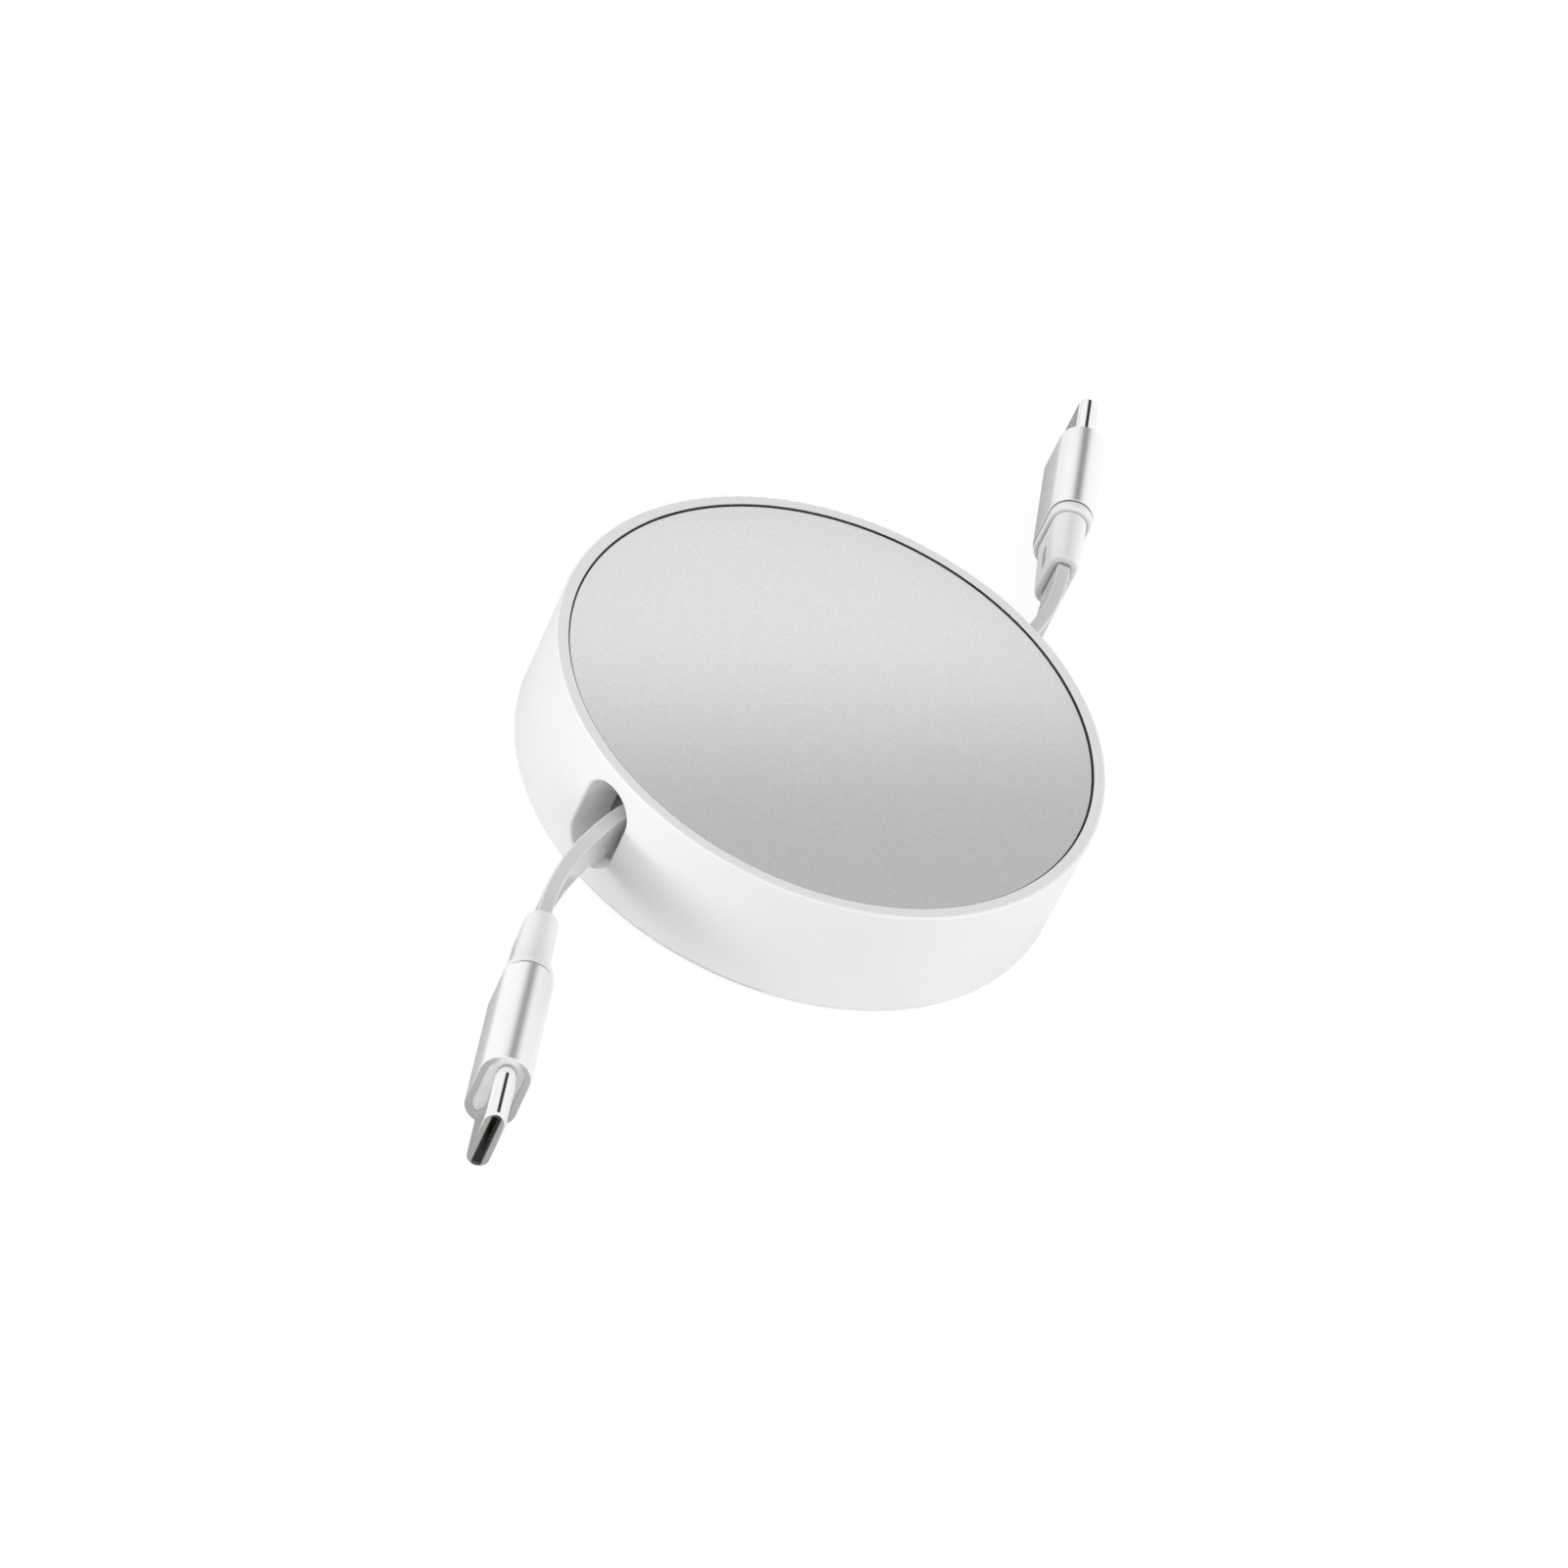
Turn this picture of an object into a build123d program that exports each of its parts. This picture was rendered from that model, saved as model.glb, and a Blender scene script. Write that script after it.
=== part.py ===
from build123d import *
import os
from math import cos, hypot, radians, sin, tan

# Retractable charging cable: a flat round case holds a sprung reel, and a flat cable leaves
# it through two opposite slots, each end carrying a small reversible plug.
# Millimetres, +Z up, origin at the centre of the case's base, slots on -X (a) and +X (b).

# Case
case_diameter = 65.0
case_height = 15.5
wall_thickness = 2.0
floor_thickness = 1.8
base_edge_radius = 0.6
rim_edge_radius = 0.3
rim_width = 1.4

# Slots for the cable
slot_height = 11.4
slot_width = 6.6
slot_lip_radius = 0.3
slot_pad_depth = 1.2
slot_pad_margin = 1.3
slot_guide_gap = 0.5

# Cover, adhesive, trim disc and the thin gasket round it, from the inside out
cover_thickness = 1.0
cover_clearance = 0.1
adhesive_thickness = 0.1
adhesive_margin = 0.6
adhesive_hole_radius = 4.0
disc_thickness = 0.5
disc_recess = 0.2
disc_gap = 0.05
disc_edge_radius = 0.15
gasket_thickness = 0.1
gasket_drop = 0.06

# Centre post and screw
post_radius = 3.5
thrust_ring_radius = 6.0
thrust_ring_height = 0.3
cover_boss_radius = 4.6
screw_radius = 1.0
screw_length = 6.0
screw_head_radius = 2.3
screw_head_height = 0.9
screw_clearance = 0.2
pilot_clearance = 0.05
driver_slot_length = 3.0
driver_slot_width = 0.5
driver_slot_depth = 0.45

# Flat cable
cable_width = 5.66
cable_thickness = 1.62
cable_edge_radius = 0.3
cable_side_clearance = 0.32

# Reel
reel_wall_gap = 4.5
bearing_clearance = 0.08
axial_play = 0.1
web_thickness = 1.0
drum_radius = 11.0
drum_wall = 1.6
lower_flange_thickness = 1.0
upper_flange_thickness = 1.4
spigot_width = 0.6
spigot_height = 0.4
spigot_clearance = 0.05
rib_count = 8
rib_width = 0.8
rib_drop = 0.7
coil_margin = 2.8
coil_hub_clearance = 0.1

# Mainspring
spring_turns = 8
spring_thickness = 0.2
spring_end_clearance = 0.5
spring_inner_radius = 4.6
spring_drum_gap = 0.7
spring_tang_bend = 0.6
spring_tang_start = 1.5
spring_hook_bend = 0.5
spring_hook_length = 0.9
spring_slot_clearance = 0.2

# Ball latch
ball_diameter = 2.0
ball_rest_clearance = 0.05
ball_side_clearance = 0.1
ball_roof_clearance = 0.5
lane_edge_margin = 5.0
lane_spacing = 4.0
track_depth = 1.0
track_clearance = 0.2
island_count = 3
island_span = 40.0
island_nose = 8.0
island_notch = 9.0
island_clearance = 0.3
guide_rib_width = 1.0
guide_rib_gap = 0.3
guide_overrun = 0.8

# Plugs
plug_heading = 41.74
relief_length = 9.2
collar_length = 1.0
collar_inset = 0.15
collar_edge_radius = 0.3
neck_width = 8.04
neck_thickness = 3.56
neck_taper = 2.0
neck_edge_radius = 0.4
slit_length = 3.6
slit_height = 1.2
slit_depth = 1.3
slit_from_rear = 1.7
sleeve_width = 10.4
sleeve_thickness = 5.5
sleeve_length = 14.5
sleeve_wall = 0.75
sleeve_gap = 0.2
sleeve_edge_radius = 0.12
core_recess = 0.35
core_clearance = 0.03
shell_width = 8.25
shell_thickness = 2.40
shell_side_wall = 0.65
shell_end_wall = 0.2
shell_exposed = 7.1
shell_sunk = 6.0
shell_lip_radius = 0.35
insulator_recess = 0.08
mouth_width = 7.0
mouth_thickness = 0.86
mouth_depth = 5.8
contact_count = 12
contact_pitch = 0.5
contact_width = 0.24
contact_thickness = 0.08
contact_length = 4.0
contact_setback = 1.6
board_width = 7.0
board_thickness = 0.8
board_length = 6.0
board_clearance = 0.05

# Derived radii and heights
case_radius = case_diameter / 2
cavity_radius = case_radius - wall_thickness
seat_radius = case_radius - rim_width
mid_height = case_height / 2
disc_top = case_height - disc_recess
disc_bottom = disc_top - disc_thickness
adhesive_bottom = disc_bottom - adhesive_thickness
cover_bottom = adhesive_bottom - cover_thickness
disc_radius = seat_radius - gasket_thickness - disc_gap
reel_radius = cavity_radius - reel_wall_gap
coil_radius = reel_radius - coil_margin
drum_inner_radius = drum_radius - drum_wall
bore_radius = post_radius + bearing_clearance
web_bottom = floor_thickness + thrust_ring_height + axial_play
web_top = web_bottom + web_thickness
lower_flange_top = mid_height - cable_width / 2 - cable_side_clearance
lower_flange_bottom = lower_flange_top - lower_flange_thickness
upper_flange_bottom = mid_height + cable_width / 2 + cable_side_clearance
upper_flange_top = upper_flange_bottom + upper_flange_thickness
post_top = upper_flange_top + axial_play
track_floor = upper_flange_top - track_depth
lane_outer_radius = reel_radius - lane_edge_margin
lane_inner_radius = lane_outer_radius - lane_spacing
ball_radius = ball_diameter / 2
ball_bottom = track_floor + ball_rest_clearance
screw_seat = adhesive_bottom - screw_head_height
spring_bottom = web_top + spring_end_clearance
spring_top = upper_flange_bottom - spigot_height - spring_end_clearance
spring_outer_radius = drum_inner_radius - spring_drum_gap
sleeve_rear = relief_length + sleeve_gap
sleeve_front = sleeve_rear + sleeve_length
shell_rear = sleeve_front - shell_sunk
shell_tip = sleeve_front + shell_exposed
core_front = sleeve_front - core_recess
opening_width = shell_width - 2 * shell_end_wall
opening_thickness = shell_thickness - 2 * shell_side_wall
insulator_front = shell_tip - insulator_recess

# Corners of the cable's route on the b side, chosen by hand: two beside the coil, two for the
# turn into the slot, three outside and the end at the strain relief. Those inside are set out
# from the coil's edge and those outside from the case's wall. A bend takes this share of its run.
bend_share = 0.45
route_beside_coil = [(-1.01, 11.30), (0.70, 7.30), (1.80, 2.60), (5.30, 0.70)]
route_outside = [(0.91, 1.63), (7.92, 4.01), (14.31, 7.74), (17.07, 10.20)]
route = [(coil_radius + x, y) for x, y in route_beside_coil]
route += [(case_radius + x, y) for x, y in route_outside]

BASE = (Align.CENTER, Align.CENTER, Align.MIN)
TOLERANCE = 0.01


def disc_at(radius, bottom, top):
    """Round plate between two heights."""
    return Pos(0, 0, bottom) * Cylinder(radius, top - bottom, align=BASE)


def ring_at(outer, inner, bottom, top):
    """Flat ring between two heights."""
    return disc_at(outer, bottom, top) - disc_at(inner, bottom, top)


def block(x_low, x_high, y_mid, y_size, z_low, z_high):
    """Square block from its x and z limits, centred on y_mid."""
    size = (x_high - x_low, y_size, z_high - z_low)
    centre = ((x_low + x_high) / 2, y_mid, (z_low + z_high) / 2)
    return Pos(*centre) * Box(*size)


def stadium(wide, thick, start, length, taper=0.0):
    """Round-ended bar along +X, its wide way upright."""
    section = Plane.YZ.offset(start) * SlotOverall(wide, thick, rotation=90)
    return extrude(section, length, taper=taper)


def edges_in_plane(part, x):
    """Edges that lie in the plane across the plug's axis at x."""
    return part.edges().filter_by_position(Axis.X, x - TOLERANCE, x + TOLERANCE)


def make_case_body():
    """Moulded cup: wall, floor, cover ledge, slotted post and two round-ended cable slots."""
    body = disc_at(case_radius, 0, case_height)
    rims = body.edges().filter_by(GeomType.CIRCLE).sort_by(Axis.Z)
    body = fillet(rims[0], base_edge_radius)
    rims = body.edges().filter_by(GeomType.CIRCLE).sort_by(Axis.Z)
    body = fillet(rims[-1], rim_edge_radius)
    body -= disc_at(cavity_radius, floor_thickness, case_height)
    for side in (0, 180):
        body += Rot(0, 0, side) * make_slot_walls()
    body -= disc_at(seat_radius, cover_bottom, case_height)
    opening = stadium(slot_height, slot_width, reel_radius, case_radius)
    for side in (0, 180):
        body -= Rot(0, 0, side) * Pos(0, 0, mid_height) * opening
    lips = body.edges().filter_by(on_slot_lip)
    body = fillet(lips, slot_lip_radius)
    body += disc_at(thrust_ring_radius, floor_thickness, floor_thickness + thrust_ring_height)
    body += disc_at(post_radius, floor_thickness, post_top)
    pilot_bottom = screw_seat - screw_length - screw_clearance
    body -= disc_at(screw_radius + pilot_clearance, pilot_bottom, post_top)
    tang_slot = spring_thickness + 2 * spring_slot_clearance
    tang_inside = spring_tang_start - spring_slot_clearance
    tang_floor = spring_bottom - spring_slot_clearance
    body -= block(tang_inside, 2 * post_radius, spring_tang_bend, tang_slot, tang_floor, post_top)
    return body


def make_slot_walls():
    """Thickened wall round a slot, b side, with a long guide on the side that the cable turns from."""
    in_wall = case_radius - wall_thickness / 2
    pad_width = slot_width + 2 * slot_pad_margin
    pad_inside = cavity_radius - slot_pad_depth
    pad = block(pad_inside, in_wall, 0, pad_width, floor_thickness, cover_bottom)
    guide_width = slot_width / 4 + slot_pad_margin
    guide_middle = guide_width / 2 - pad_width / 2
    guide_inside = reel_radius + slot_guide_gap
    return pad + block(guide_inside, in_wall, guide_middle, guide_width, floor_thickness, cover_bottom)


def on_slot_lip(edge):
    """True for the outer edge of a slot, where it breaks through the wall."""
    point = edge.position_at(0.5)
    on_wall = abs(hypot(point.X, point.Y) - case_radius) < TOLERANCE
    return on_wall and abs(point.Z - mid_height) < slot_height / 2 + TOLERANCE


def make_top_cover():
    """Inner cover: plate, screw boss and the channel between two ribs that guides the ball."""
    cover = disc_at(seat_radius - cover_clearance, cover_bottom, adhesive_bottom)
    cover += disc_at(cover_boss_radius, post_top, cover_bottom)
    cover -= disc_at(screw_head_radius + screw_clearance, screw_seat, adhesive_bottom)
    cover -= disc_at(screw_radius + screw_clearance, post_top, screw_seat)
    rib_low = lane_inner_radius - ball_radius - guide_overrun
    rib_high = lane_outer_radius + ball_radius + guide_overrun
    rib_mid = ball_radius + ball_side_clearance + guide_rib_width / 2
    rib_bottom = upper_flange_top + guide_rib_gap
    for side in (-1, 1):
        rib = block(rib_low, rib_high, side * rib_mid, guide_rib_width, rib_bottom, cover_bottom)
        cover += Rot(0, 0, 90) * rib
    channel_width = ball_diameter + 2 * ball_side_clearance
    channel_roof = ball_bottom + ball_diameter + ball_roof_clearance
    return cover - Rot(0, 0, 90) * block(rib_low, rib_high, 0, channel_width, rib_bottom, channel_roof)


def make_trim_disc():
    """Aluminium disc, its upper edge finely rounded."""
    disc = disc_at(disc_radius, disc_bottom, disc_top)
    return fillet(disc.edges().group_by(Axis.Z)[-1], disc_edge_radius)


def make_disc_gasket():
    """Thin dark ring that lines the rim round the disc."""
    return ring_at(seat_radius, seat_radius - gasket_thickness, adhesive_bottom, case_height - gasket_drop)


def make_disc_adhesive():
    """Ring of double-sided film under the disc, open round the screw."""
    return ring_at(disc_radius - adhesive_margin, adhesive_hole_radius, adhesive_bottom, disc_bottom)


def make_centre_screw():
    """Pan-head screw through the cover into the post, with a crossed driver slot."""
    screw = disc_at(screw_head_radius, screw_seat, adhesive_bottom)
    screw += disc_at(screw_radius, screw_seat - screw_length, screw_seat)
    reach = driver_slot_length / 2
    bottom = adhesive_bottom - driver_slot_depth
    for turn in (0, 90):
        screw -= Rot(0, 0, turn) * block(-reach, reach, 0, driver_slot_width, bottom, adhesive_bottom)
    return screw


def make_reel_drum():
    """Spring drum with its bearing web, lower flange and the stiffening ribs below it."""
    profile = Polyline(
        (bore_radius, web_bottom),
        (drum_radius, web_bottom),
        (drum_radius, lower_flange_bottom),
        (reel_radius, lower_flange_bottom),
        (reel_radius, lower_flange_top),
        (drum_radius, lower_flange_top),
        (drum_radius, upper_flange_bottom),
        (drum_inner_radius, upper_flange_bottom),
        (drum_inner_radius, web_top),
        (bore_radius, web_top),
        close=True,
    )
    drum = revolve(Plane.XZ * make_face(profile), Axis.Z)
    rib_inside = drum_radius - drum_wall / 2
    rib_bottom = lower_flange_bottom - rib_drop
    rib = block(rib_inside, coil_radius, 0, rib_width, rib_bottom, lower_flange_bottom)
    for turn in range(rib_count):
        drum += Rot(0, 0, turn * 360 / rib_count) * rib
    notch_depth = spring_hook_bend + spring_hook_length - spring_drum_gap + spring_slot_clearance
    notch_width = spring_thickness + 2 * spring_slot_clearance
    notch_inside = drum_inner_radius - drum_wall
    notch_outside = drum_inner_radius + notch_depth
    notch_floor = spring_bottom - spring_slot_clearance
    notch_top = upper_flange_bottom
    return drum - block(notch_inside, notch_outside, -spring_hook_bend, notch_width, notch_floor, notch_top)


def make_latch_island():
    """One cam island of the latch: a nose that parts the lanes and a notch that stops the ball."""
    low = lane_inner_radius + ball_radius + island_clearance
    high = lane_outer_radius - ball_radius - island_clearance
    middle = (low + high) / 2
    half = island_span / 2

    def polar(radius, angle):
        return (radius * cos(radians(angle)), radius * sin(radians(angle)))

    outline = [
        CenterArc((0, 0), high, -half, island_span),
        Line(polar(high, -half), polar(middle, island_notch - half)),
        Line(polar(middle, island_notch - half), polar(low, -half)),
        CenterArc((0, 0), low, -half, island_span),
        Line(polar(low, half), polar(middle, half + island_nose)),
        Line(polar(middle, half + island_nose), polar(high, half)),
    ]
    return Pos(0, 0, track_floor) * extrude(make_face(Curve() + outline), track_depth)


def make_reel_flange():
    """Upper flange: locating spigot, two-lane ball track and its cam islands."""
    flange = disc_at(reel_radius, upper_flange_bottom, upper_flange_top)
    spigot_outer = drum_inner_radius - spigot_clearance
    spigot_inner = spigot_outer - spigot_width
    flange += ring_at(spigot_outer, spigot_inner, upper_flange_bottom - spigot_height, upper_flange_bottom)
    flange -= disc_at(bore_radius, upper_flange_bottom, upper_flange_top)
    lane_low = lane_inner_radius - ball_radius - track_clearance
    lane_high = lane_outer_radius + ball_radius + track_clearance
    flange -= ring_at(lane_high, lane_low, track_floor, upper_flange_top)
    first = 90 - 180 / island_count
    for turn in range(island_count):
        flange += Rot(0, 0, first + turn * 360 / island_count) * make_latch_island()
    return flange


def make_mainspring():
    """Flat spiral spring: tang in the post's slot, growing half turns, hook in the drum's notch."""
    pitch = (spring_outer_radius - spring_inner_radius) / spring_turns
    bend = spring_tang_bend
    path = [
        Line((spring_tang_start, -bend), (spring_inner_radius - bend, -bend)),
        CenterArc((spring_inner_radius - bend, 0), bend, -90, 90),
    ]
    for half_turn in range(2 * spring_turns):
        near = spring_inner_radius + half_turn * pitch / 2
        far = near + pitch / 2
        side = 1 if half_turn % 2 == 0 else -1
        start_angle = 0 if side == 1 else 180
        path.append(CenterArc((side * (near - far) / 2, 0), (near + far) / 2, start_angle, 180))
    hook_centre = (spring_outer_radius + spring_hook_bend, 0)
    hook_end = (spring_outer_radius + spring_hook_bend, spring_hook_bend)
    path.append(CenterArc(hook_centre, spring_hook_bend, 180, -90))
    path.append(Line(hook_end, (hook_end[0] + spring_hook_length, hook_end[1])))
    band_height = spring_top - spring_bottom
    section = Plane(origin=(spring_tang_start, -bend, 0), x_dir=(0, 1, 0), z_dir=(1, 0, 0))
    band = sweep(section * Rectangle(spring_thickness, band_height), path=Wire(path))
    return Pos(0, 0, (spring_bottom + spring_top) / 2) * mirror(band, about=Plane.XZ)


def make_wound_cable():
    """The cable's turns on the drum, both ends wound side by side, as one closed coil."""
    low = mid_height - cable_width / 2
    high = mid_height + cable_width / 2
    coil = ring_at(coil_radius, drum_radius + coil_hub_clearance, low, high)
    corners = coil.edges().filter_by(GeomType.CIRCLE)
    return fillet(corners, cable_edge_radius)


def make_latch_ball():
    """Steel ball, resting on the track in the inner lane."""
    return Pos(0, lane_inner_radius, ball_bottom + ball_radius) * Sphere(ball_radius)


def route_radii():
    """Bend radius at each inner corner of the route, as large as the shorter run allows."""
    radii = []
    for before, corner, after in zip(route, route[1:], route[2:]):
        run_in = Vector(*corner) - Vector(*before)
        run_out = Vector(*after) - Vector(*corner)
        half_turn = radians(run_in.get_angle(run_out)) / 2
        radii.append(bend_share * min(run_in.length, run_out.length) / tan(half_turn))
    return radii


def make_cable_run():
    """Flat cable on edge, from beside the coil through the slot to the strain relief, b side."""
    radii = route_radii()
    print("cable bend radii, mm:", [round(radius, 2) for radius in radii])
    path = FilletPolyline(*route, radius=radii)
    start = path @ 0
    ahead = path % 0
    section = Plane(origin=start, x_dir=(-ahead.Y, ahead.X, 0), z_dir=ahead)
    outline = RectangleRounded(cable_thickness, cable_width, cable_edge_radius)
    run = sweep(section * outline, path=path)
    share = run.volume / (outline.area * path.length)
    print("cable run length, mm:", round(path.length, 2))
    print("cable run volume over section times length:", round(share, 4))
    return Pos(0, 0, mid_height) * run


def make_strain_relief():
    """Moulded strain relief: tapered neck with a slit each side, and the collar behind the sleeve."""
    neck_length = relief_length - collar_length
    neck = stadium(neck_width, neck_thickness, 0, neck_length, taper=-neck_taper)
    neck = fillet(edges_in_plane(neck, 0), neck_edge_radius)
    collar_width = sleeve_width - 2 * collar_inset
    collar_thickness = sleeve_thickness - 2 * collar_inset
    collar = stadium(collar_width, collar_thickness, neck_length, collar_length)
    collar = fillet(edges_in_plane(collar, neck_length), collar_edge_radius)
    relief = neck + collar
    slit_middle = slit_from_rear + slit_length / 2
    face = neck_thickness / 2 + slit_middle * tan(radians(neck_taper))
    slit = extrude(Plane.XZ * SlotOverall(slit_length, slit_height), slit_depth, both=True)
    for side in (-1, 1):
        relief -= Pos(slit_middle, side * face, 0) * slit
    return relief


def make_sleeve():
    """Aluminium sleeve of the plug, open at both ends."""
    sleeve = stadium(sleeve_width, sleeve_thickness, sleeve_rear, sleeve_length)
    ends = edges_in_plane(sleeve, sleeve_rear) + edges_in_plane(sleeve, sleeve_front)
    sleeve = fillet(ends, sleeve_edge_radius)
    inner_width = sleeve_width - 2 * sleeve_wall
    inner_thickness = sleeve_thickness - 2 * sleeve_wall
    return sleeve - stadium(inner_width, inner_thickness, sleeve_rear, sleeve_length)


def board_space(clearance):
    """Space of the wiring board behind the shell, grown by a clearance."""
    half = board_thickness + 2 * clearance
    rear = shell_rear - board_length - clearance
    tall = board_width / 2 + clearance
    return block(rear, shell_rear, 0, half, -tall, tall)


def make_plug_core():
    """Inner mould that holds the shell and board in the sleeve."""
    width = sleeve_width - 2 * sleeve_wall - 2 * core_clearance
    thickness = sleeve_thickness - 2 * sleeve_wall - 2 * core_clearance
    core = stadium(width, thickness, relief_length, core_front - relief_length)
    core -= stadium(shell_width, shell_thickness, shell_rear, shell_sunk)
    return core - board_space(board_clearance)


def make_plug_shell():
    """Drawn metal shell of the plug, with a rounded lip at its mouth."""
    shell = stadium(shell_width, shell_thickness, shell_rear, shell_tip - shell_rear)
    shell = fillet(edges_in_plane(shell, shell_tip), shell_lip_radius)
    return shell - stadium(opening_width, opening_thickness, shell_rear, shell_tip - shell_rear)


def make_insulator():
    """Dark insulator lining the shell, with the flat mouth that takes the socket's tongue."""
    insulator = stadium(opening_width, opening_thickness, shell_rear, insulator_front - shell_rear)
    half_mouth = mouth_width / 2
    mouth_floor = insulator_front - mouth_depth
    return insulator - block(mouth_floor, insulator_front, 0, mouth_thickness, -half_mouth, half_mouth)


def make_contacts():
    """Two rows of flat contacts on the mouth's broad walls."""
    front = insulator_front - contact_setback
    seat = mouth_thickness / 2 - contact_thickness / 2
    contact = Box(contact_length, contact_thickness, contact_width)
    contacts = []
    for side in (-1, 1):
        for place in range(contact_count):
            height = (place - (contact_count - 1) / 2) * contact_pitch
            contacts.append(Pos(front - contact_length / 2, side * seat, height) * contact)
    return Compound(contacts)


def export_nodes(nodes):
    """Write each node to its own STEP file."""
    os.makedirs("parts", exist_ok=True)
    for name, shape in nodes.items():
        export_step(shape, f"parts/{name}.step")


nodes = {
    "case_body": make_case_body(),
    "top_cover": make_top_cover(),
    "trim_disc": make_trim_disc(),
    "disc_gasket": make_disc_gasket(),
    "disc_adhesive": make_disc_adhesive(),
    "centre_screw": make_centre_screw(),
    "reel_drum": make_reel_drum(),
    "reel_flange": make_reel_flange(),
    "mainspring": make_mainspring(),
    "wound_cable": make_wound_cable(),
    "latch_ball": make_latch_ball(),
}

# Pieces of one plug, along +X from the rear of its strain relief
plug_pieces = {
    "strain_relief": make_strain_relief(),
    "plug_sleeve": make_sleeve(),
    "plug_core": make_plug_core(),
    "plug_shell": make_plug_shell(),
    "plug_insulator": make_insulator(),
    "plug_contacts": make_contacts(),
    "plug_board": board_space(0.0),
}

cable_run = make_cable_run()
plug_place = Pos(*route[-1], mid_height) * Rot(0, 0, plug_heading)
for letter, half_turn in (("a", 180), ("b", 0)):
    nodes[f"cable_run_{letter}"] = Rot(0, 0, half_turn) * cable_run
    for piece, shape in plug_pieces.items():
        nodes[f"{piece}_{letter}"] = Rot(0, 0, half_turn) * plug_place * shape

export_nodes(nodes)
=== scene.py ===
from math import atan2, cos, hypot, pi, radians, sin, tan

import bpy
from mathutils import Matrix, Vector


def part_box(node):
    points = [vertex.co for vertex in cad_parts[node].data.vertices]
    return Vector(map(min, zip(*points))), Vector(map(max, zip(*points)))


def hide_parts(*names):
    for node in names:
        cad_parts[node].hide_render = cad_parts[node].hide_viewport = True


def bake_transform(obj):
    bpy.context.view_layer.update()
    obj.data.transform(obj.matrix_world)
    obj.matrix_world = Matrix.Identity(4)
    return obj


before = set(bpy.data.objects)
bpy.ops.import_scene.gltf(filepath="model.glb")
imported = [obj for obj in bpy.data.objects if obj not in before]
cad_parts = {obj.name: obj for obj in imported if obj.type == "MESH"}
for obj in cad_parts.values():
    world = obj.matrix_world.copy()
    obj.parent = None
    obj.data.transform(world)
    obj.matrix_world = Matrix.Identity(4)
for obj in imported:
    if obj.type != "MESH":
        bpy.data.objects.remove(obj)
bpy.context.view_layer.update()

# Retractable charging cable: its flat cable at full length, the finish of every piece,
# a plain floor, soft light and the camera. Metres, +Z up, slots on -X (a) and +X (b).
MM = 0.001

# View of the photograph: its angles about the case's axis, above the floor and about the line of sight,
# its distance, and how far its middle lies from the case's
view_azimuth = radians(58.35)
view_elevation = radians(40.56)
view_roll = radians(26.36)
view_distance = 625.95 * MM
view_right = -3.0 * MM
view_up = -4.05 * MM
view_near = 10 * MM
lens_length = 128.25

# Flat cable
cable_thickness = 1.62 * MM
cable_edge_radius = 0.3 * MM
cable_corner_steps = 4
cable_line_order = 3
cable_line_steps = 12
coil_pitch = 3.4 * MM
coil_points_per_turn = 24
coil_hub_line = 12.0 * MM
cable_low, cable_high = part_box("wound_cable")
cable_width = cable_high.z - cable_low.z
mid_height = (cable_high.z + cable_low.z) / 2

# Corners of the cable's route on the b side: beside the coil, into the slot and on to the plug
route = [
    (22.19 * MM, 11.30 * MM),
    (23.90 * MM, 7.30 * MM),
    (25.00 * MM, 2.60 * MM),
    (28.50 * MM, 0.70 * MM),
    (33.41 * MM, 1.63 * MM),
    (40.42 * MM, 4.01 * MM),
    (46.81 * MM, 7.74 * MM),
    (49.57 * MM, 10.20 * MM),
]

# Heading of the plugs' line, and how far it passes beside the case's axis
plug_heading = radians(41.74)
plug_ahead = Vector((cos(plug_heading), sin(plug_heading), 0))
plug_right = Vector((sin(plug_heading), -cos(plug_heading), 0))
plug_offset = plug_right.dot(Vector((*route[-1], 0)))

# Finishes: size of the broad clouds, and where between the noise's ends the tint starts and stops
cloud_size = 6 * MM
tint_start = 0.3
tint_stop = 0.7

# Lining of the plugs' mouths: from the front to the back, and how much paler it is there; the paler
# back is painted light, standing in for light that reaches deep into the mouth
mouth_front = 74.6 * MM
mouth_back = 71.6 * MM
mouth_back_painted_light_gain = 6.0

# Painted shade in the crevices of the strain reliefs: how far a surface is felt, the open shares
# between which its colour is painted darker, and how dark it gets at most
crevice_reach = 1.0 * MM
crevice_closed = 0.35
crevice_open = 0.75
crevice_shade_gain = 0.15

# Light of the surroundings, and the dark strip of them that shiny surfaces see
sky_light = 0.65
strip_azimuth = radians(-9)
strip_elevation = radians(41)
strip_side_inner = radians(6)
strip_side_outer = radians(17)
strip_end_inner = radians(22)
strip_end_outer = radians(40)
strip_tone = 0.03

# Floor: its colour, what lifts it to white as seen, and its tone under the plugs as mirrored, which is
# a painted shade under the plugs that only reflections show
floor_reach = 6.0
floor_albedo = 0.42
floor_lift = 0.68
floor_plug_shade_lift = 0.05
floor_plug_near = 8 * MM
floor_plug_far = 13 * MM

# Toned card over the disc, which only shiny surfaces see: white above, grey below in the picture
veil_height = 12 * MM
veil_radius = 40 * MM
veil_corners = 48
veil_white = -11.7 * MM
veil_grey = 19.8 * MM
veil_tone = 0.62

# Soft boxes: place to the right of the case, away from the camera and up, then the power in watts
soft_box_width = 0.6
soft_box_height = 0.2
soft_boxes = {
    "left_box": ((-0.685, -0.184, 0.125), 2.25),
    "front_box": ((0, -0.709, 0.125), 2.1),
    "right_box": ((0.698, 0.123, 0.125), 2.8),
}

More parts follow.
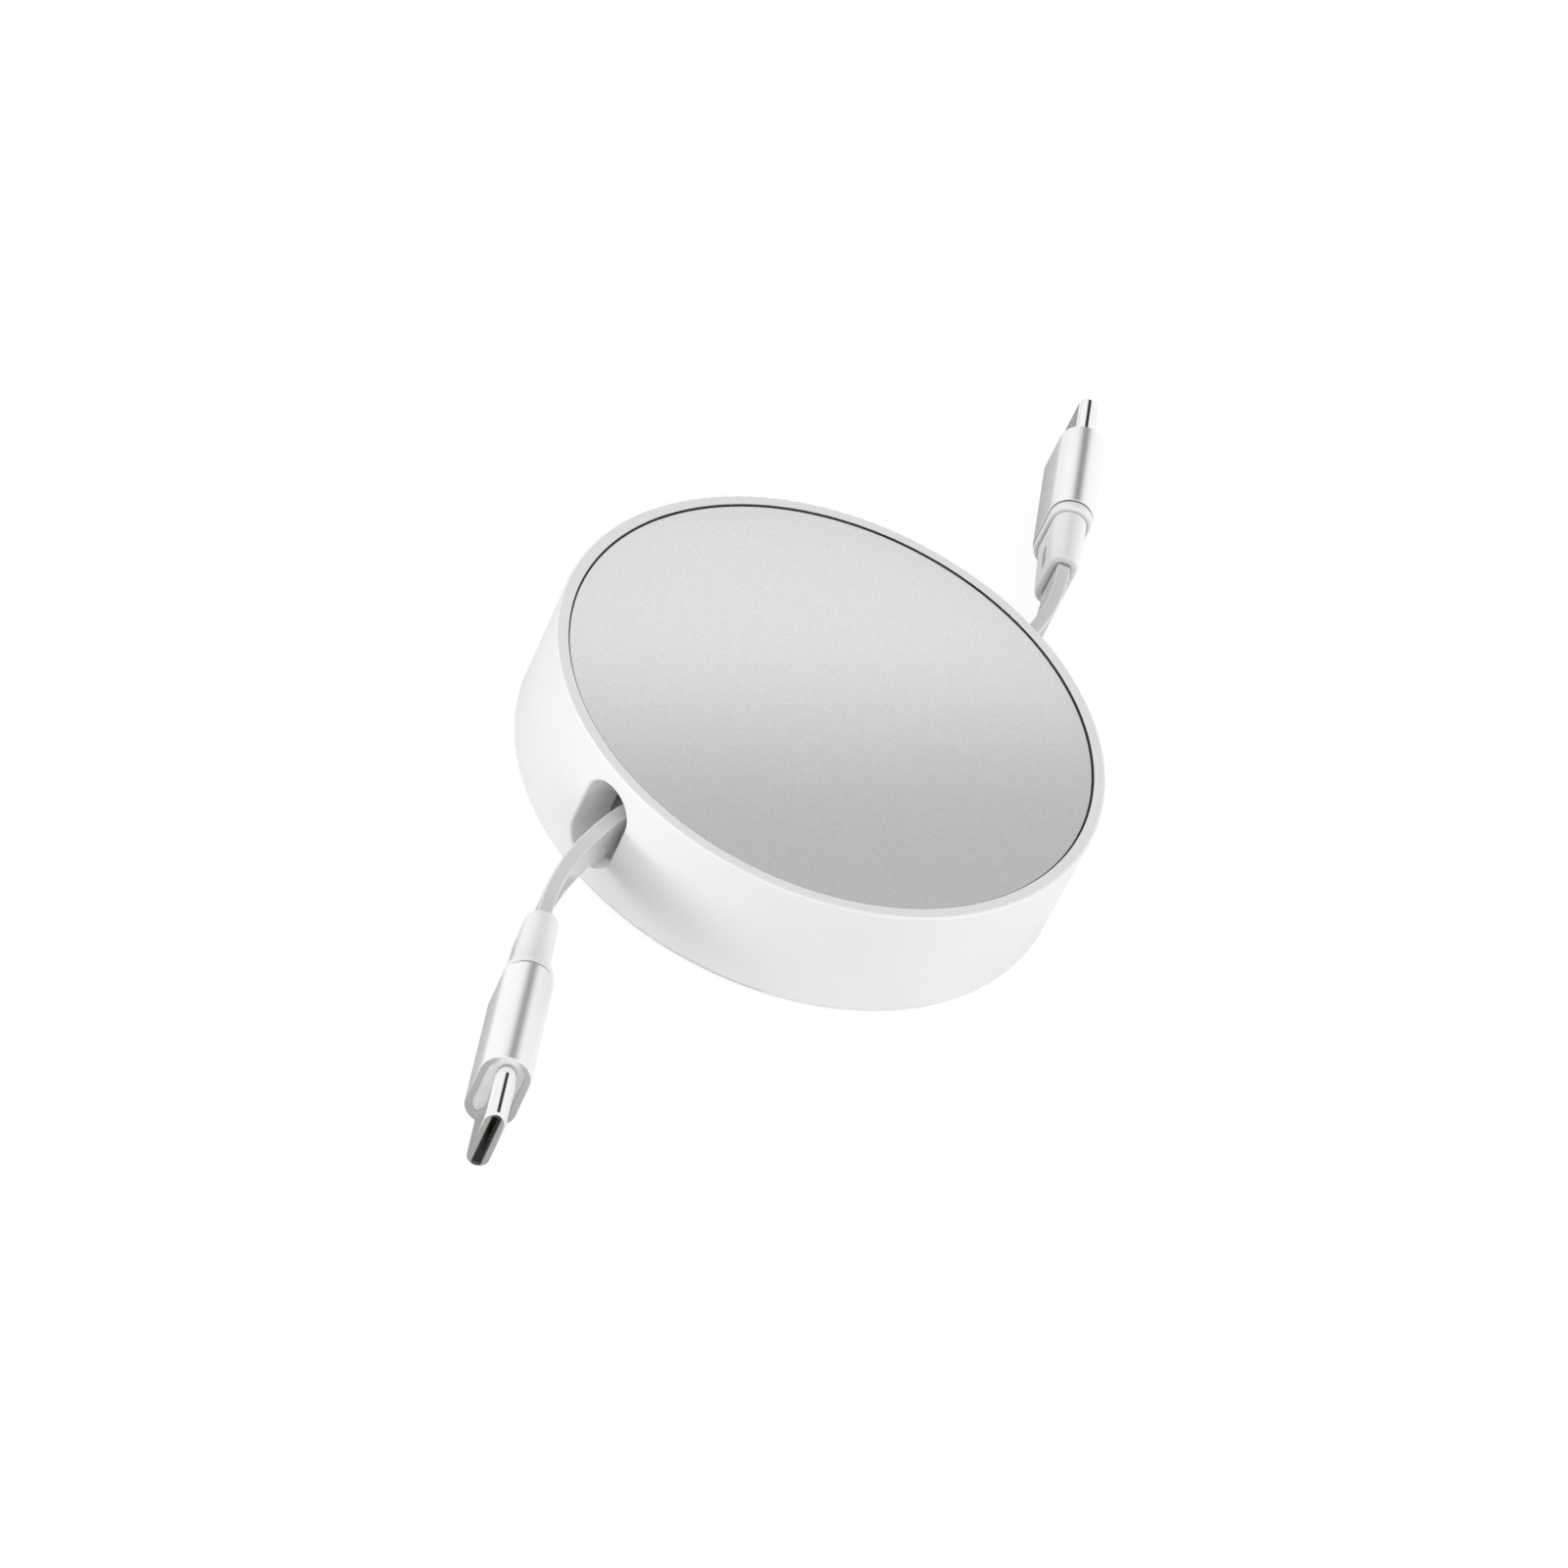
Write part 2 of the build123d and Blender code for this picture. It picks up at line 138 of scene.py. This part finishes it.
# Axes of the view, seen from above
view_side = Vector((cos(view_azimuth), -sin(view_azimuth), 0))
view_ahead = Vector((sin(view_azimuth), cos(view_azimuth), 0))


def studio_point(right, ahead, up):
    """Point set out from the case by the view: to its right, away from the camera and up."""
    return view_side * right + view_ahead * ahead + Vector((0, 0, up))


def add_object(name, data):
    """Object in the scene's own collection."""
    made = bpy.data.objects.new(name, data)
    bpy.context.scene.collection.objects.link(made)
    return made


def add_camera():
    """Camera at the photograph's place, turned about its line of sight as the photograph is."""
    forward = view_ahead * cos(view_elevation) - Vector((0, 0, sin(view_elevation)))
    level_up = view_ahead * sin(view_elevation) + Vector((0, 0, cos(view_elevation)))
    right = view_side * cos(view_roll) + level_up * sin(view_roll)
    up = level_up * cos(view_roll) - view_side * sin(view_roll)
    target = Vector((0, 0, mid_height)) + right * view_right + up * view_up
    camera = add_object("camera", bpy.data.cameras.new("camera"))
    camera.data.lens = lens_length
    camera.data.clip_start = view_near
    turn = Matrix((right, up, -forward)).transposed().to_4x4()
    camera.matrix_world = Matrix.Translation(target - forward * view_distance) @ turn
    bpy.context.scene.camera = camera


def cable_corners():
    """Control points of one cable: turns of the coil from the hub outwards, then the route."""
    start_radius = hypot(*route[0])
    start_angle = atan2(route[0][1], route[0][0])
    count = int((start_radius - coil_hub_line) / coil_pitch * coil_points_per_turn)
    turns = []
    for step in range(count, 0, -1):
        radius = start_radius - coil_pitch * step / coil_points_per_turn
        angle = start_angle + 2 * pi * step / coil_points_per_turn
        turns.append((radius * cos(angle), radius * sin(angle)))
    return turns + route


def cable_line(side):
    """Points along the cable's smooth line, read from a spline through its control points."""
    corners = cable_corners()
    curve = bpy.data.curves.new("cable_line", "CURVE")
    curve.dimensions = "3D"
    spline = curve.splines.new("NURBS")
    spline.points.add(len(corners) - 1)
    for point, (x, y) in zip(spline.points, corners):
        point.co = (side * x, side * y, mid_height, 1)
    spline.order_u = cable_line_order
    spline.use_endpoint_u = True
    spline.resolution_u = cable_line_steps
    guide = add_object("cable_line", curve)
    drawn = bpy.data.meshes.new_from_object(guide.evaluated_get(bpy.context.evaluated_depsgraph_get()))
    points = [vertex.co.copy() for vertex in drawn.vertices]
    bpy.data.objects.remove(guide)
    bpy.data.meshes.remove(drawn)
    bpy.data.curves.remove(curve)
    return points


def cable_outline():
    """Section of the flat cable as (across, up) points, with its four corners rounded."""
    across = cable_thickness / 2 - cable_edge_radius
    up = cable_width / 2 - cable_edge_radius
    outline = []
    for quarter, (x, z) in enumerate(((across, up), (-across, up), (-across, -up), (across, -up))):
        for step in range(cable_corner_steps + 1):
            angle = (quarter + step / cable_corner_steps) * pi / 2
            outline.append((x + cable_edge_radius * cos(angle), z + cable_edge_radius * sin(angle)))
    return outline


def ribbon_mesh(name, points):
    """Closed band that stands on edge along a level line."""
    outline = cable_outline()
    size = len(outline)
    vertices = []
    for place, point in enumerate(points):
        before = points[max(place - 1, 0)]
        after = points[min(place + 1, len(points) - 1)]
        ahead = (after - before).normalized()
        left = Vector((-ahead.y, ahead.x, 0))
        vertices += [point + left * across + Vector((0, 0, up)) for across, up in outline]
    faces = [list(range(size - 1, -1, -1))]
    for ring in range(len(points) - 1):
        for corner in range(size):
            beside = (corner + 1) % size
            low, high = ring * size, (ring + 1) * size
            faces.append((low + corner, low + beside, high + beside, high + corner))
    last = (len(points) - 1) * size
    faces.append(list(range(last, last + size)))
    mesh = bpy.data.meshes.new(name)
    mesh.from_pydata(vertices, [], faces)
    mesh.shade_smooth()
    return mesh


def add_cable(letter, side, stands_for):
    """One end's whole cable: wound in the case, out of the slot and on to its plug."""
    points = cable_line(side)
    cable = add_object(f"cable_{letter}", ribbon_mesh(f"cable_{letter}", points))
    cable.modifiers.new("even_shading", "WEIGHTED_NORMAL")
    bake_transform(cable)
    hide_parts(*stands_for)
    cable.data.materials.append(materials["cable_jacket"])


def new_material(name):
    """Material with its nodes and the call that links them."""
    material = bpy.data.materials.new(name)
    material.use_nodes = True
    return material, material.node_tree.nodes, material.node_tree.links.new


def new_math(nodes, operation, second=None):
    """Node that works on numbers; second is its second number, where that is fixed."""
    made = nodes.new("ShaderNodeMath")
    made.operation = operation
    if second is not None:
        made.inputs[1].default_value = second
    return made


def new_dot(nodes, direction):
    """Node that measures a point or a direction along another direction."""
    made = nodes.new("ShaderNodeVectorMath")
    made.operation = "DOT_PRODUCT"
    made.inputs[1].default_value = direction
    return made


def new_scale(nodes):
    """Node that makes a colour stronger or weaker."""
    made = nodes.new("ShaderNodeVectorMath")
    made.operation = "SCALE"
    return made


def new_range(nodes, start, stop, low, high, course="LINEAR"):
    """Node that turns numbers from start to stop into numbers from low to high."""
    made = nodes.new("ShaderNodeMapRange")
    made.interpolation_type = course
    made.inputs["From Min"].default_value = start
    made.inputs["From Max"].default_value = stop
    made.inputs["To Min"].default_value = low
    made.inputs["To Max"].default_value = high
    return made


def grey(level):
    """Neutral colour of that brightness."""
    return (level, level, level)


def add_surface(name, dark, light, roughness, grain, grain_height, metallic=0.0, cloud_share=0.5):
    """Material whose colour, gloss and bump come from a broad and a fine noise in the part's space.

    dark and light are the ends of its grey or tint, roughness is a pair, grain is a size.
    """
    material, nodes, link = new_material(name)
    shader = nodes["Principled BSDF"]
    shader.inputs["Metallic"].default_value = metallic
    space = nodes.new("ShaderNodeTexCoord")
    broad = nodes.new("ShaderNodeTexNoise")
    broad.inputs["Scale"].default_value = 1 / cloud_size
    fine = nodes.new("ShaderNodeTexNoise")
    fine.inputs["Scale"].default_value = 1 / grain
    tint = nodes.new("ShaderNodeValToRGB")
    tint.color_ramp.elements[0].position = tint_start
    tint.color_ramp.elements[0].color = (*dark, 1)
    tint.color_ramp.elements[1].position = tint_stop
    tint.color_ramp.elements[1].color = (*light, 1)
    gloss = new_range(nodes, 0, 1, *roughness)
    bump = nodes.new("ShaderNodeBump")
    bump.inputs["Strength"].default_value = 1.0
    bump.inputs["Distance"].default_value = grain_height
    blend = new_math(nodes, "MULTIPLY_ADD", cloud_share)
    rest = new_math(nodes, "MULTIPLY", 1 - cloud_share)
    link(space.outputs["Object"], broad.inputs["Vector"])
    link(space.outputs["Object"], fine.inputs["Vector"])
    link(fine.outputs["Fac"], rest.inputs[0])
    link(broad.outputs["Fac"], blend.inputs[0])
    link(rest.outputs[0], blend.inputs[2])
    link(blend.outputs[0], tint.inputs["Fac"])
    link(tint.outputs["Color"], shader.inputs["Base Color"])
    link(blend.outputs[0], gloss.inputs["Value"])
    link(gloss.outputs["Result"], shader.inputs["Roughness"])
    link(fine.outputs["Fac"], bump.inputs["Height"])
    link(bump.outputs["Normal"], shader.inputs["Normal"])
    return material


def paint_light_into_mouth_depth(material):
    """Paint light into the lining of the plugs' mouths: it grows paler from its front inwards, as if
    light reached deep into them.
    """
    nodes = material.node_tree.nodes
    link = material.node_tree.links.new
    along = new_dot(nodes, plug_ahead)
    out = new_math(nodes, "ABSOLUTE")
    gain = new_range(nodes, mouth_back, mouth_front, mouth_back_painted_light_gain, 1.0)
    paler = new_scale(nodes)
    link(nodes["Texture Coordinate"].outputs["Object"], along.inputs[0])
    link(along.outputs["Value"], out.inputs[0])
    link(out.outputs[0], gain.inputs["Value"])
    link(nodes["Color Ramp"].outputs["Color"], paler.inputs["Vector"])
    link(gain.outputs["Result"], paler.inputs["Scale"])
    link(paler.outputs["Vector"], nodes["Principled BSDF"].inputs["Base Color"])


def paint_crevice_shade(material):
    """Paint shade into a finish's colour: it grows darker where the surface about it leaves it little
    open.
    """
    nodes = material.node_tree.nodes
    link = material.node_tree.links.new
    open_share = nodes.new("ShaderNodeAmbientOcclusion")
    open_share.inputs["Distance"].default_value = crevice_reach
    gain = new_range(nodes, crevice_closed, crevice_open, crevice_shade_gain, 1.0)
    darker = new_scale(nodes)
    link(open_share.outputs["AO"], gain.inputs["Value"])
    link(nodes["Color Ramp"].outputs["Color"], darker.inputs["Vector"])
    link(gain.outputs["Result"], darker.inputs["Scale"])
    link(darker.outputs["Vector"], nodes["Principled BSDF"].inputs["Base Color"])


# Darkest and lightest colour, least and most roughness, size and height of the grain, and where
# they aren't the usual ones the share of metal and the share of broad clouds
finishes = {
    "case_plastic": (grey(0.81), grey(0.83), (0.54, 0.62), 0.25 * MM, 0.003 * MM),
    "inner_plastic": (grey(0.66), grey(0.72), (0.5, 0.6), 0.3 * MM, 0.004 * MM),
    "disc_aluminium": (grey(0.69), grey(0.77), (0.33, 0.37), 0.22 * MM, 0.004 * MM, 1.0, 0.0),
    # gasket_rubber: a near-black ring set in the gap round the disc, a dark piece that paints the shade
    # of that gap
    "gasket_rubber": (grey(0.025), grey(0.035), (0.5, 0.6), 0.1 * MM, 0.001 * MM),
    "adhesive_film": (grey(0.75), grey(0.82), (0.3, 0.4), 0.2 * MM, 0.002 * MM),
    "plated_steel": (grey(0.60), grey(0.66), (0.2, 0.28), 0.1 * MM, 0.001 * MM, 1.0),
    "spring_steel": (grey(0.36), grey(0.44), (0.28, 0.36), 0.1 * MM, 0.001 * MM, 1.0),
    "cable_jacket": (grey(0.70), grey(0.73), (0.2, 0.26), 0.2 * MM, 0.001 * MM),
    "relief_plastic": (grey(0.81), grey(0.84), (0.34, 0.42), 0.2 * MM, 0.002 * MM),
    "sleeve_aluminium": (grey(0.93), grey(0.96), (0.37, 0.41), 0.08 * MM, 0.0005 * MM, 1.0),
    "core_plastic": (grey(0.78), grey(0.82), (0.4, 0.48), 0.2 * MM, 0.002 * MM),
    "shell_nickel": (grey(0.88), grey(0.92), (0.08, 0.12), 0.08 * MM, 0.0003 * MM, 1.0),
    "insulator_plastic": (grey(0.066), grey(0.078), (0.45, 0.55), 0.1 * MM, 0.001 * MM),
    "contact_gold": ((0.42, 0.34, 0.22), (0.5, 0.41, 0.26), (0.36, 0.42), 0.05 * MM, 0.0005 * MM, 1.0),
    "board_laminate": ((0.02, 0.09, 0.05), (0.03, 0.13, 0.07), (0.35, 0.45), 0.1 * MM, 0.001 * MM),
}
materials = {name: add_surface(name, *finish) for name, finish in finishes.items()}
# Painted light: the lining of the plugs' mouths is painted paler towards their back
paint_light_into_mouth_depth(materials["insulator_plastic"])
# Painted shade: the strain reliefs' colour is painted darker in their crevices, slit and gaps
paint_crevice_shade(materials["relief_plastic"])


def dress_nodes():
    """Give every node of the frame the finish that the record names for it."""
    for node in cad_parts.values():
        wanted = node.material_slots[0].material.name.split(".")[0]
        node.material_slots[0].material = materials[wanted]


def add_stage_mesh(name, corners, material):
    """Flat stage piece with one face."""
    mesh = bpy.data.meshes.new(name)
    mesh.from_pydata(corners, [], [list(range(len(corners)))])
    mesh.materials.append(material)
    made = add_object(name, mesh)
    return made


def add_floor():
    """Wide pale floor, white as seen where no shadow falls, with a painted shade under the plugs that
    shows only as mirrored.
    """
    material, nodes, link = new_material("floor_white")
    nodes.remove(nodes["Principled BSDF"])
    paint = nodes.new("ShaderNodeBsdfDiffuse")
    paint.inputs["Color"].default_value = (*grey(floor_albedo), 1)
    space = nodes.new("ShaderNodeTexCoord")
    beside = new_dot(nodes, plug_right)
    either = new_math(nodes, "ABSOLUTE")
    away = new_math(nodes, "SUBTRACT", plug_offset)
    apart = new_math(nodes, "ABSOLUTE")
    # Painted shade: as mirrored, the floor is painted darker near the plugs' line
    tone = new_range(nodes, floor_plug_near, floor_plug_far, floor_plug_shade_lift, floor_lift, "SMOOTHSTEP")
    path = nodes.new("ShaderNodeLightPath")
    straight = new_math(nodes, "ADD")
    mirrored = new_math(nodes, "MULTIPLY")
    level = new_math(nodes, "MULTIPLY_ADD", floor_lift)
    lift = nodes.new("ShaderNodeEmission")
    both = nodes.new("ShaderNodeAddShader")
    link(space.outputs["Object"], beside.inputs[0])
    link(beside.outputs["Value"], either.inputs[0])
    link(either.outputs[0], away.inputs[0])
    link(away.outputs[0], apart.inputs[0])
    link(apart.outputs[0], tone.inputs["Value"])
    link(tone.outputs["Result"], mirrored.inputs[0])
    link(path.outputs["Is Glossy Ray"], mirrored.inputs[1])
    link(path.outputs["Is Camera Ray"], straight.inputs[0])
    link(path.outputs["Is Transmission Ray"], straight.inputs[1])
    link(straight.outputs[0], level.inputs[0])
    link(mirrored.outputs[0], level.inputs[2])
    link(level.outputs[0], lift.inputs["Strength"])
    link(paint.outputs[0], both.inputs[0])
    link(lift.outputs[0], both.inputs[1])
    link(both.outputs[0], nodes["Material Output"].inputs["Surface"])
    turns = ((-1, -1), (1, -1), (1, 1), (-1, 1))
    add_stage_mesh("floor", [(x * floor_reach, y * floor_reach, 0) for x, y in turns], material)


def add_disc_veil():
    """Level card over the disc, white to grey from the picture's top to its bottom."""
    disc_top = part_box("trim_disc")[1].z
    middle = studio_point(0, veil_height / tan(view_elevation), disc_top + veil_height)
    down = (view_side * sin(view_roll) - view_ahead * sin(view_elevation) * cos(view_roll)).normalized()
    white_from = down.dot(middle) + veil_white
    grey_from = down.dot(middle) + veil_grey
    material, nodes, link = new_material("disc_veil")
    nodes.remove(nodes["Principled BSDF"])
    space = nodes.new("ShaderNodeTexCoord")
    along = new_dot(nodes, down)
    tone = new_range(nodes, white_from, grey_from, 1.0, veil_tone, "SMOOTHSTEP")
    glow = nodes.new("ShaderNodeEmission")
    link(space.outputs["Object"], along.inputs[0])
    link(along.outputs["Value"], tone.inputs["Value"])
    link(tone.outputs["Result"], glow.inputs["Strength"])
    link(glow.outputs[0], nodes["Material Output"].inputs["Surface"])
    angles = [2 * pi * corner / veil_corners for corner in range(veil_corners)]
    corners = [middle + Vector((cos(angle), sin(angle), 0)) * veil_radius for angle in angles]
    veil = add_stage_mesh("disc_veil", corners, material)
    veil.visible_camera = False
    veil.visible_diffuse = False
    veil.visible_transmission = False
    veil.visible_shadow = False


def add_world():
    """Even white surroundings: full white as seen, with a dark strip as mirrored, and less as light."""
    world = bpy.data.worlds.new("studio")
    bpy.context.scene.world = world
    world.use_nodes = True
    nodes = world.node_tree.nodes
    link = world.node_tree.links.new
    background = nodes["Background"]
    background.inputs["Color"].default_value = (1, 1, 1, 1)
    level_part = cos(strip_elevation)
    strip_middle = studio_point(
        level_part * sin(strip_azimuth), level_part * cos(strip_azimuth), sin(strip_elevation)
    )
    space = nodes.new("ShaderNodeTexCoord")
    towards = new_dot(nodes, strip_middle)
    aside = new_dot(nodes, plug_ahead.cross(strip_middle).normalized())
    either = new_math(nodes, "ABSOLUTE")
    ends = new_range(nodes, cos(strip_end_outer), cos(strip_end_inner), 0.0, 1.0, "SMOOTHSTEP")
    sides = new_range(nodes, sin(strip_side_inner), sin(strip_side_outer), 1.0, 0.0, "SMOOTHSTEP")
    share = new_math(nodes, "MULTIPLY")
    strip = new_range(nodes, 0, 1, 1.0, strip_tone)
    path = nodes.new("ShaderNodeLightPath")
    lit = new_range(nodes, 0, 1, 1.0, sky_light)
    mirrored = nodes.new("ShaderNodeMix")
    link(space.outputs["Generated"], towards.inputs[0])
    link(space.outputs["Generated"], aside.inputs[0])
    link(towards.outputs["Value"], ends.inputs["Value"])
    link(aside.outputs["Value"], either.inputs[0])
    link(either.outputs[0], sides.inputs["Value"])
    link(ends.outputs["Result"], share.inputs[0])
    link(sides.outputs["Result"], share.inputs[1])
    link(share.outputs[0], strip.inputs["Value"])
    link(path.outputs["Is Diffuse Ray"], lit.inputs["Value"])
    link(path.outputs["Is Glossy Ray"], mirrored.inputs["Factor"])
    link(lit.outputs["Result"], mirrored.inputs["A"])
    link(strip.outputs["Result"], mirrored.inputs["B"])
    link(mirrored.outputs["Result"], background.inputs["Strength"])


def add_soft_box(name, place, power):
    """Soft light aimed at the case, not mirrored in it."""
    lamp = bpy.data.lights.new(name, "AREA")
    lamp.shape = "RECTANGLE"
    lamp.size = soft_box_width
    lamp.size_y = soft_box_height
    lamp.energy = power
    box = add_object(name, lamp)
    box.location = place
    box.visible_glossy = False
    box.rotation_mode = "QUATERNION"
    box.rotation_quaternion = (-place).to_track_quat("-Z", "Y")


add_camera()
add_cable("a", -1, ["cable_run_a", "wound_cable"])
add_cable("b", 1, ["cable_run_b"])
dress_nodes()
add_floor()
add_world()
for box_name, (box_place, box_power) in soft_boxes.items():
    add_soft_box(box_name, studio_point(*box_place), box_power)
add_disc_veil()
bpy.context.scene.view_settings.view_transform = "Standard"
